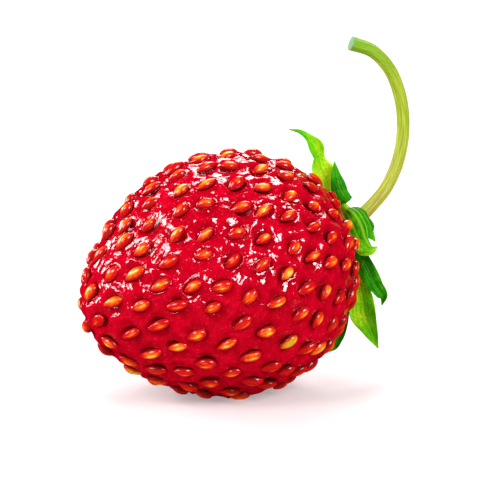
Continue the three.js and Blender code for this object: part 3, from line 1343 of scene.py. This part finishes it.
@dataclass(frozen=True)
class Leaf:
    """One calyx leaf: where it leaves the disc, and either how it bends or the points it passes.

    Angles are in degrees. The points are right, up and near of the calyx's seat as it is seen
    from the berry's front quarter. The half widths begin at the base and go on at each point.
    """

    kind: LeafKind
    number: int
    azimuth: float
    length: float = 0.0
    width: float = 0.0
    lift: float = 0.0
    lift_end: float = 0.0
    passes: tuple[tuple[float, float, float], ...] = ()
    halves: tuple[float, ...] = ()
    facing: tuple[float, float, float] = (0.0, 0.0, 1.0)
    facing_end: tuple[float, float, float] | None = None
    cup: float = 0.25
    fold: float = 0.0
    wave: float = 0.10
    waves: float = 2.5
    shade: float = 0.5
    shade_end: float | None = None
    lean: float = 0.0
    rib: float = 1.0

    @property
    def name(self) -> str:
        """The CAD node that the leaf stands for."""
        return f"{self.kind.value}_{self.number}"


@dataclass
class Calyx:
    """The disc with its neck, five sepals in front and five bractlets behind."""

    shape: BerryShape
    disc_radius: float = 2.0
    disc_thickness: float = 0.55
    neck_radius: float = 0.78
    neck_length: float = 0.9
    disc_gap: float = 0.15
    piece_gap: float = 0.12
    layer_step: float = 0.42
    leaf_thickness: float = 0.17
    steps: int = 84
    strips: int = 28
    disc_sides: int = 60
    disc_ribs: int = 10
    disc_rib_depth: float = 0.025
    vein_depth: float = 0.045
    tip_thinning: float = 0.4
    least_rim: float = 0.03
    leaves: tuple[Leaf, ...] = (
        Leaf(
            LeafKind.SEPAL,
            1,
            14,
            passes=(
                (-0.72, 3.05, 0.40),
                (-1.10, 3.78, 0.60),
                (-1.27, 4.65, 0.45),
                (-1.47, 5.28, 0.60),
                (-1.88, 5.88, 0.55),
                (-2.48, 6.36, 0.35),
                (-3.20, 6.57, 0.20),
            ),
            halves=(0.45, 0.70, 0.76, 0.46, 0.52, 0.30, 0.16, 0.02),
            facing=(0.35, -0.1, 0.9),
            facing_end=(0.1, 0.5, 0.8),
            cup=0.7,
            wave=0.32,
            waves=2.6,
            shade=1.10,
            shade_end=0.35,
            lean=0.12,
        ),
        Leaf(
            LeafKind.SEPAL,
            2,
            -45,
            passes=((1.10, 0.85, 2.15), (1.52, 0.12, 2.40), (1.84, -0.80, 2.40), (2.42, -1.65, 1.95)),
            halves=(0.70, 1.00, 1.14, 0.98, 0.12),
            facing=(-0.1, 0.3, 0.9),
            facing_end=(0.5, 0.3, 0.8),
            cup=-0.2,
            fold=-0.6,
            wave=0.32,
            waves=1.7,
            shade=0.22,
            shade_end=0.50,
            lean=0.22,
            rib=2.0,
        ),
        Leaf(
            LeafKind.SEPAL,
            3,
            -106,
            passes=((1.65, -1.25, 1.85), (2.15, -1.50, 1.80), (2.68, -1.36, 1.45)),
            halves=(0.45, 0.52, 0.42, 0.05),
            facing=(0.1, 0.5, 0.8),
            cup=-0.4,
            wave=0.25,
            waves=1.6,
            shade=0.66,
        ),
        Leaf(
            LeafKind.SEPAL,
            4,
            -160,
            passes=(
                (1.50, -3.60, 0.15),
                (1.80, -4.90, 0.10),
                (1.92, -5.90, 0.0),
                (2.32, -6.95, -0.20),
                (2.84, -8.20, -0.50),
            ),
            halves=(0.50, 0.66, 0.80, 0.94, 0.60, 0.03),
            facing=(-0.45, 0.0, 0.90),
            cup=0.2,
            fold=0.12,
            wave=0.20,
            waves=1.8,
            shade=0.76,
            shade_end=0.58,
            lean=0.15,
        ),
        Leaf(LeafKind.SEPAL, 5, 102, 6.0, 2.8, 8, 30, shade=0.6),
        Leaf(
            LeafKind.BRACTLET,
            1,
            -30,
            passes=((0.28, 2.35, 1.35), (0.02, 3.25, 1.35), (-0.17, 4.39, 0.90)),
            halves=(0.42, 0.54, 0.42, 0.03),
            facing=(0.15, 0.1, 0.95),
            cup=-0.2,
            fold=-0.35,
            wave=0.20,
            waves=1.5,
            shade=0.08,
            shade_end=0.32,
            rib=1.6,
        ),
        Leaf(
            LeafKind.BRACTLET,
            2,
            -72,
            passes=((1.85, 0.20, 1.55), (2.25, -0.40, 1.50), (2.55, -0.95, 1.25)),
            halves=(0.38, 0.50, 0.42, 0.05),
            facing=(0.5, 0.3, 0.8),
            cup=-0.3,
            wave=0.15,
            waves=1.5,
            shade=0.45,
        ),
        Leaf(
            LeafKind.BRACTLET,
            3,
            -136,
            passes=((2.15, -2.87, 0.90), (2.67, -3.99, 0.80), (3.14, -4.79, 0.60), (3.07, -5.25, 0.30)),
            halves=(0.38, 0.50, 0.48, 0.30, 0.05),
            facing=(-0.35, 0.15, 0.92),
            facing_end=(-0.4, 0.6, 0.7),
            cup=-0.1,
            fold=0.35,
            wave=0.22,
            waves=2.0,
            shade=0.12,
            shade_end=0.30,
            rib=1.5,
        ),
        Leaf(
            LeafKind.BRACTLET,
            4,
            171,
            passes=(
                (0.56, -4.20, -1.30),
                (0.56, -6.43, -1.50),
                (0.20, -7.60, -1.50),
                (-0.05, -8.15, -1.40),
                (-0.43, -8.46, -1.30),
            ),
            halves=(0.30, 0.38, 0.40, 0.36, 0.22, 0.03),
            facing=(-0.45, 0.0, 0.9),
            cup=0.2,
            fold=0.2,
            wave=0.12,
            waves=2.0,
            shade=0.1,
        ),
        Leaf(LeafKind.BRACTLET, 5, 62, 4.8, 1.6, -2, 10, shade=0.4),
    )

    def build(self) -> list[bpy.types.Object]:
        """Makes the disc and the leaves.

        Returns:
            All pieces.
        """
        finishes = {
            LeafKind.SEPAL: LeafFinish("sepal").make(),
            LeafKind.BRACTLET: LeafFinish("bractlet", vein=(0.11, 0.38, 0.010)).make(),
        }
        pieces = [self._disc(finishes[LeafKind.SEPAL])]
        for leaf in self.leaves:
            piece = self._leaf(leaf)
            dress(piece, finishes[leaf.kind])
            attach(piece, BODY)
            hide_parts(leaf.name)
            pieces.append(piece)
        return pieces

    def depth(self) -> float:
        """How far behind the berry's end the stalk starts."""
        return self.disc_gap + self.disc_thickness + self.neck_length + self.piece_gap

    def _to_row(self) -> Matrix:
        """From the calyx's frame to the row's."""
        seat = self.shape.seat() - Vector((0.0, 0.0, self.disc_gap))
        return self.shape.lying() @ Matrix.Translation(seat)

    def _disc(self, material: bpy.types.Material) -> bpy.types.Object:
        """The disc with its ribbed neck.

        Args:
            material: its finish.

        Returns:
            The piece.
        """
        back = -self.disc_thickness - self.neck_length
        rows = [
            (0.0, back + 0.04),
            (self.neck_radius * 0.55, back),
            (self.neck_radius * 0.92, back + 0.02),
            (self.neck_radius, back + 0.16),
            (self.neck_radius * 1.02, back * 0.75),
            (self.neck_radius * 1.18, -self.disc_thickness - self.neck_length * 0.22),
            (self.disc_radius * 0.62, -self.disc_thickness * 1.02),
            (self.disc_radius * 0.88, -self.disc_thickness * 0.80),
            (self.disc_radius * 0.98, -self.disc_thickness * 0.45),
            (self.disc_radius * 0.97, -0.08),
            (self.disc_radius * 0.85, 0.0),
            (0.0, 0.0),
        ]
        sides = self.disc_sides
        points, along, across = [], [], []
        for i, (radius, height) in enumerate(rows):
            for k in range(sides if radius else 1):
                turn = FULL_TURN * k / sides
                wavy = math.cos(self.disc_ribs * turn)
                out = radius * (1 + self.disc_rib_depth * wavy * min(1.0, radius))
                points.append((out * math.cos(turn), out * math.sin(turn), height))
                along.append(0.2 + 0.4 * i / len(rows))
                across.append(wavy * 0.5)
        rings = len(rows) - 2
        last = 1 + (rings - 1) * sides
        faces = [(0, 1 + (k + 1) % sides, 1 + k) for k in range(sides)]
        faces += ring_faces(1, rings, sides)
        faces += [(last + sides, last + k, last + (k + 1) % sides) for k in range(sides)]
        count = len(points)
        held = {
            "along": np.array(along),
            "across": np.array(across),
            "vein": np.abs(np.array(across)) * 0.6,
            "under": np.zeros(count),
            "shade": np.full(count, 0.7),
        }
        disc = mesh_object("calyx_disc_looks", moved(np.array(points), self._to_row()), faces, held)
        dress(disc, material)
        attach(disc, BODY)
        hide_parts("calyx_disc")
        return disc

    @staticmethod
    def _outline(s: float) -> float:
        """A leaf's half width, as a share of its greatest, from base (0) to tip (1).

        Args:
            s: place along the leaf.

        Returns:
            The share.
        """
        widest = 0.36
        rise = 1 - 0.45 * (1 - s / widest) ** 2 if s < widest else 1.0
        fall = 1 - ((s - widest) / (1 - widest)) ** 1.7 if s > widest else 1.0
        return max(0.02, rise * fall)

    def _base(self, leaf: Leaf) -> tuple[Vector, Vector]:
        """Where a leaf leaves the disc.

        Args:
            leaf: the leaf.

        Returns:
            The place and the direction it leaves in, in the calyx's frame.
        """
        azimuth = math.radians(leaf.azimuth)
        radial = Vector((math.cos(azimuth), math.sin(azimuth), 0.0))
        point = radial * (self.disc_radius + self.piece_gap)
        if leaf.kind is LeafKind.BRACTLET:
            point.z -= self.layer_step
        return point, radial

    def _midrib(self, leaf: Leaf) -> list[tuple[Vector, Vector, Vector, float]]:
        """The leaf's midrib in the row's frame.

        Args:
            leaf: the leaf.

        Returns:
            Point, direction across, normal and half width at each step.
        """
        return self._through(leaf) if leaf.passes else self._bent(leaf)

    def _through(self, leaf: Leaf) -> list[tuple[Vector, Vector, Vector, float]]:
        """The midrib of a leaf that passes given points.

        Args:
            leaf: the leaf.

        Returns:
            Point, direction across, normal and half width at each step.
        """
        axes = front_quarter()
        seat = self.shape.lying() @ self.shape.seat()
        first = self._to_row() @ self._base(leaf)[0]
        knots = [first] + [seat + axes @ Vector(p) for p in leaf.passes]
        spans = [0.0]
        for a, b in zip(knots, knots[1:]):
            spans.append(spans[-1] + (b - a).length)
        places = np.array([[*knot, half] for knot, half in zip(knots, leaf.halves)])
        shares = np.array(spans) / spans[-1]
        line = [smooth_path(s, shares, places) for s in np.linspace(0, 1, self.steps + 1)]
        start, end = Vector(leaf.facing), Vector(leaf.facing_end or leaf.facing)
        stations = []
        for i, spot in enumerate(line):
            ahead, behind = line[min(i + 1, self.steps)], line[max(i - 1, 0)]
            along = Vector((ahead - behind)[:3]).normalized()
            facing = axes @ start.lerp(end, i / self.steps)
            across = facing.cross(along).normalized()
            stations.append((Vector(spot[:3]), across, along.cross(across), max(0.012, float(spot[3]))))
        return stations

    def _bent(self, leaf: Leaf) -> list[tuple[Vector, Vector, Vector, float]]:
        """The midrib of a leaf that bends evenly away from the disc.

        Args:
            leaf: the leaf.

        Returns:
            Point, direction across, normal and half width at each step.
        """
        to_row = self._to_row()
        turn = to_row.to_3x3()
        point, radial = self._base(leaf)
        axial = Vector((0.0, 0.0, 1.0))
        stations = []
        for i in range(self.steps + 1):
            s = i / self.steps
            lift = math.radians(leaf.lift + (leaf.lift_end - leaf.lift) * s * s)
            along = radial * math.cos(lift) + axial * math.sin(lift)
            across = axial.cross(along).normalized()
            half = leaf.width / 2 * self._outline(s)
            stations.append((to_row @ point, turn @ across, turn @ along.cross(across), half))
            point = point + along * (leaf.length / self.steps)
        return stations

    def _leaf(self, leaf: Leaf) -> bpy.types.Object:
        """A leaf with veins, a wavy margin and a thin rim.

        Args:
            leaf: the leaf.

        Returns:
            The piece.
        """
        stations = self._midrib(leaf)
        columns = np.linspace(-1, 1, self.strips + 1)
        points: list[Vector] = []
        held: dict[str, list[float]] = {"along": [], "across": [], "vein": [], "under": [], "shade": []}
        phase = 1.7 * leaf.number + (0.0 if leaf.kind is LeafKind.SEPAL else 0.9)
        hand = -1.0 if leaf.passes else 1.0  # leaves by points count across from the other margin
        for face in (1.0, -1.0):
            for i, (point, across, normal, half) in enumerate(stations):
                s = i / self.steps
                shade = leaf.shade + ((leaf.shade_end or leaf.shade) - leaf.shade) * s
                for v in map(float, columns):
                    edge = abs(v)
                    vein = self._vein(v, s)
                    height = leaf.cup * half * v * v + leaf.fold * half * edge
                    ripple = math.sin(FULL_TURN * leaf.waves * s + phase + 1.3 * hand * np.sign(v))
                    height += leaf.wave * half * edge**3 * ripple * math.sin(math.pi * min(1.0, 1.1 * s))
                    height -= self.vein_depth * vein
                    rim = math.sqrt(max(self.least_rim, 1 - edge**6))
                    thick = self.leaf_thickness / 2 * rim * (1 - self.tip_thinning * s)
                    points.append(point + across * (v * half) + normal * (height + face * thick))
                    held["along"].append(s)
                    held["across"].append(v)
                    held["vein"].append(min(1.0, leaf.rib * vein))
                    held["under"].append(0.5 - 0.5 * face)
                    held["shade"].append(shade + leaf.lean * hand * v)
        attributes = {key: np.array(values) for key, values in held.items()}
        return mesh_object(leaf.name + "_looks", np.array(points), self._leaf_faces(), attributes)

    def _leaf_faces(self) -> list[tuple[int, ...]]:
        """The faces of a leaf: both sides, then both margins, then the base and the tip.

        Returns:
            Vertex numbers of each face.
        """
        width = self.strips + 1
        layer = (self.steps + 1) * width
        top = self.steps * width
        last = self.strips
        faces: list[tuple[int, ...]] = []
        for a in (i * width + k for i in range(self.steps) for k in range(self.strips)):
            faces.append((a, a + width, a + width + 1, a + 1))
            faces.append((layer + a, layer + a + 1, layer + a + width + 1, layer + a + width))
        margin = [(a, a + width) for a in range(0, top, width)]
        faces += [(a, layer + a, layer + b, b) for a, b in margin]
        faces += [(b + last, layer + b + last, layer + a + last, a + last) for a, b in margin]
        faces += [(k + 1, layer + k + 1, layer + k, k) for k in range(last)]
        faces += [(top + k, layer + top + k, layer + top + k + 1, top + k + 1) for k in range(last)]
        return faces

    @staticmethod
    def _vein(v: float, s: float) -> float:
        """How much of a vein lies at a place on a leaf.

        Args:
            v: place across, -1 to 1.
            s: place along, 0 to 1.

        Returns:
            0 to 1.
        """
        midrib = math.exp(-((v / 0.06) ** 2)) * (1 - 0.5 * s)
        sides = sum(math.exp(-(((abs(v) - lane) / 0.035) ** 2)) for lane in (0.36, 0.68))
        return min(1.0, midrib + 0.55 * sides * (1 - 0.7 * s))


# --- the stalk --------------------------------------------------------------------------------


@dataclass
class Pedicel:
    """The stalk: ribbed, a little thicker at both ends, cut off square."""

    shape: BerryShape
    start: float
    radius: float = 0.43
    swell: float = 0.12
    bow: tuple[tuple[float, float, float], ...] = (
        (3.1, 0.2, 1.2),
        (4.3, 0.4, 2.15),
        (5.45, 0.6, 3.9),
        (6.08, 0.9, 6.2),
        (5.98, 1.2, 8.3),
        (5.3, 1.55, 10.15),
        (4.2, 2.05, 11.4),
        (2.85, 2.5, 11.95),
    )
    steps: int = 150
    ribs: int = 7
    rib_depth: float = 0.045
    seed: int = 5

    def build(self) -> list[bpy.types.Object]:
        """Makes the stalk and its cut face.

        Returns:
            Both pieces.
        """
        path = self._path()
        carrier = self._carrier(path)
        stalk = grow(
            carrier,
            self._stalk_tree(),
            {
                "Radius": self.radius * MM,
                "Swell": self.swell,
                "Ribs": float(self.ribs),
                "Rib Depth": self.rib_depth,
                "Material": StalkFinish().make(),
            },
            "pedicel_looks",
        )
        bpy.data.objects.remove(carrier)
        pieces = [stalk, self._cut_face(path)]
        for piece in pieces:
            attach(piece, BODY)
            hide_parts("pedicel")
        return pieces

    def _cut_face(self, path: np.ndarray) -> bpy.types.Object:
        """The dished face where the stalk was cut, a little ragged at its rim.

        Args:
            path: the stalk's middle line.

        Returns:
            The piece.
        """
        out = Vector(path[-1] - path[-2]).normalized()
        right = out.orthogonal().normalized()
        up = out.cross(right)
        chance = np.random.default_rng(self.seed)
        rings = ((1.03, -0.06), (1.04, 0.0), (1.0, 0.045), (0.88, 0.04), (0.62, 0.015), (0.30, 0.02))
        radius = self.radius * (1 + self.swell)
        sides = 40
        points = []
        for share, height in rings:
            ragged = 1 + 0.02 * chance.normal(size=sides)
            for k in range(sides):
                turn = FULL_TURN * k / sides
                spoke = (right * math.cos(turn) + up * math.sin(turn)) * (radius * share * ragged[k])
                points.append(path[-1] + np.array(spoke + out * height))
        points.append(path[-1] + np.array(out * 0.03))
        faces = ring_faces(0, len(rings), sides)
        last = (len(rings) - 1) * sides
        faces += [(last + k, last + (k + 1) % sides, len(points) - 1) for k in range(sides)]
        face = mesh_object("pedicel_cut", np.array(points), faces)
        dress(face, CutFinish().make())
        return face

    def _path(self) -> np.ndarray:
        """The middle line, a smooth path through the bow's points.

        Returns:
            Points from the disc to the cut.
        """
        seat = self.shape.lying() @ self.shape.seat()
        drop = self.shape.tip_drop
        first = np.array([math.cos(drop), 0.0, math.sin(drop)]) * self.start
        knots = np.array([first, *self.bow]) + np.array(seat)
        reach = np.concatenate([[0.0], np.cumsum(np.linalg.norm(np.diff(knots, axis=0), axis=1))])
        shares = np.linspace(0, 1, self.steps)
        return np.array([smooth_path(s, reach / reach[-1], knots) for s in shares])

    @staticmethod
    def _carrier(path: np.ndarray) -> bpy.types.Object:
        """The path as a mesh of edges.

        Args:
            path: its points.

        Returns:
            The object.
        """
        mesh = bpy.data.meshes.new("stalk_path")
        mesh.from_pydata((path * MM).tolist(), [(i, i + 1) for i in range(len(path) - 1)], [])
        made = bpy.data.objects.new("stalk_path", mesh)
        bpy.context.scene.collection.objects.link(made)
        return made

    def _stalk_tree(self) -> bpy.types.NodeTree:
        """The geometry tree that draws a ribbed section along the path.

        Returns:
            The tree.
        """
        growth = GrowthTree(
            "stalk_along_path",
            {
                "Radius": ("NodeSocketFloat", 0.001),
                "Swell": ("NodeSocketFloat", 0.1),
                "Ribs": ("NodeSocketFloat", 7.0),
                "Rib Depth": ("NodeSocketFloat", 0.04),
                "Material": ("NodeSocketMaterial", None),
            },
        )
        board = growth.board
        line = board.node("GeometryNodeMeshToCurve", inputs={"Mesh": growth.input("Geometry")})
        along = board.node("GeometryNodeSplineParameter", outlet="Factor")
        line = self._store(board, line, "along", along)
        ends = abs(along * 2.0 - 1.0) ** 6.0
        thick = growth.input("Radius") * (1.0 + growth.input("Swell") * ends)
        section = board.node(
            "GeometryNodeCurvePrimitiveCircle", inputs={"Resolution": 56, "Radius": 1.0}, outlet="Curve"
        )
        around = board.node("GeometryNodeSplineParameter", outlet="Factor")
        section = self._store(board, section, "around", around)
        rib = (around * growth.input("Ribs") * FULL_TURN).cosine() * growth.input("Rib Depth")
        place = board.node("GeometryNodeInputPosition")
        ribbed = board.node(
            "ShaderNodeVectorMath", {"operation": "SCALE"}, {"Vector": place, "Scale": 1.0 + rib}
        )
        section = board.node("GeometryNodeSetPosition", inputs={"Geometry": section, "Position": ribbed})
        tube = board.node(
            "GeometryNodeCurveToMesh",
            inputs={"Curve": line, "Profile Curve": section, "Scale": thick, "Fill Caps": True},
        )
        return growth.finish(tube)

    @staticmethod
    def _store(board: Board, geometry: Wire, name: str, value: Wire) -> Wire:
        """Keeps a number at each point of a geometry.

        Args:
            board: the tree's board.
            geometry: the geometry.
            name: the attribute's name.
            value: the number.

        Returns:
            The geometry with the attribute.
        """
        return board.node(
            "GeometryNodeStoreNamedAttribute",
            {"data_type": "FLOAT", "domain": "POINT"},
            {"Geometry": geometry, "Name": name, "Value": value},
        )


# --- the studio -------------------------------------------------------------------------------


@dataclass(frozen=True)
class SoftBox:
    """A soft box: its size and power, and how far right, up and near of the berry it stands."""

    name: str
    width: float
    height: float
    watts: float
    right: float
    up: float
    near: float


@dataclass
class Studio:
    """A white table, soft boxes round it and the camera."""

    shape: BerryShape
    table_reach: float = 3000.0
    room_light: float = 0.86
    boxes: tuple[SoftBox, ...] = (
        SoftBox("key", 500, 430, 7.6, -700, 720, 540),
        SoftBox("side", 440, 420, 9.0, 640, 680, 680),
        SoftBox("left", 520, 340, 8.0, -880, 420, -330),
        SoftBox("back", 600, 360, 8.0, 120, 780, -820),
    )
    distance: float = 190.0
    frame_height: float = 33.0
    aim_right: float = 1.78
    aim_up: float = 1.95
    sensor: float = 36.0

    def build(self) -> None:
        """Makes the table, the light and the camera."""
        self._table()
        self._light()
        self._camera()

    def _table(self) -> None:
        """The table's top."""
        reach = self.table_reach
        corners = [(-reach, -reach, 0), (reach, -reach, 0), (reach, reach, 0), (-reach, reach, 0)]
        table = mesh_object("table", np.array(corners), [(0, 1, 2, 3)])
        dress(table, TableFinish().make())
        table.visible_glossy = False

    def _soft_box(self, box: SoftBox) -> None:
        """Puts up one soft box that faces the berry.

        Args:
            box: the soft box.
        """
        right = front_quarter().col[0]
        up = Vector((0.0, 0.0, 1.0))
        berry = self.shape.centre()
        spot = berry + right * box.right + up * box.up - up.cross(right) * box.near
        lamp = bpy.data.lights.new(box.name, "AREA")
        lamp.shape = "RECTANGLE"
        lamp.size, lamp.size_y = box.width * MM, box.height * MM
        lamp.energy = box.watts
        made = bpy.data.objects.new(box.name, lamp)
        made.location = spot * MM
        made.rotation_euler = (berry - spot).to_track_quat("-Z", "Y").to_euler()
        bpy.context.scene.collection.objects.link(made)

    def _light(self) -> None:
        """The soft boxes and the even light of the room."""
        for box in self.boxes:
            self._soft_box(box)
        world = bpy.data.worlds.new("room")
        world.use_nodes = True
        background = world.node_tree.nodes["Background"]
        background.inputs["Color"].default_value = (1, 1, 1, 1)
        background.inputs["Strength"].default_value = self.room_light
        world.cycles_visibility.glossy = False
        bpy.context.scene.world = world
        bpy.context.scene.view_settings.view_transform = "Standard"

    def _camera(self) -> None:
        """The camera."""
        right, up, near = front_quarter().col
        aim = self.shape.centre() + right * self.aim_right + up * self.aim_up
        data = bpy.data.cameras.new("camera")
        data.sensor_width = self.sensor
        data.lens = self.sensor * self.distance / self.frame_height
        data.clip_start = 0.01
        made = bpy.data.objects.new("camera", data)
        made.location = (aim + near * self.distance) * MM
        made.rotation_euler = (-near).to_track_quat("-Z", "Y").to_euler()
        bpy.context.scene.collection.objects.link(made)
        bpy.context.scene.camera = made


def main() -> None:
    """Builds the berry, the calyx, the stalk and the studio."""
    logging.basicConfig(level=logging.INFO, format="%(name)s: %(message)s")
    berry = Berry()
    calyx = Calyx(berry.shape)
    for part in (berry, calyx, Pedicel(berry.shape, calyx.depth())):
        for piece in part.build():
            log.info("%s: %d faces", piece.name, len(piece.data.polygons))
    Studio(berry.shape).build()


if __name__ == "__main__":
    main()
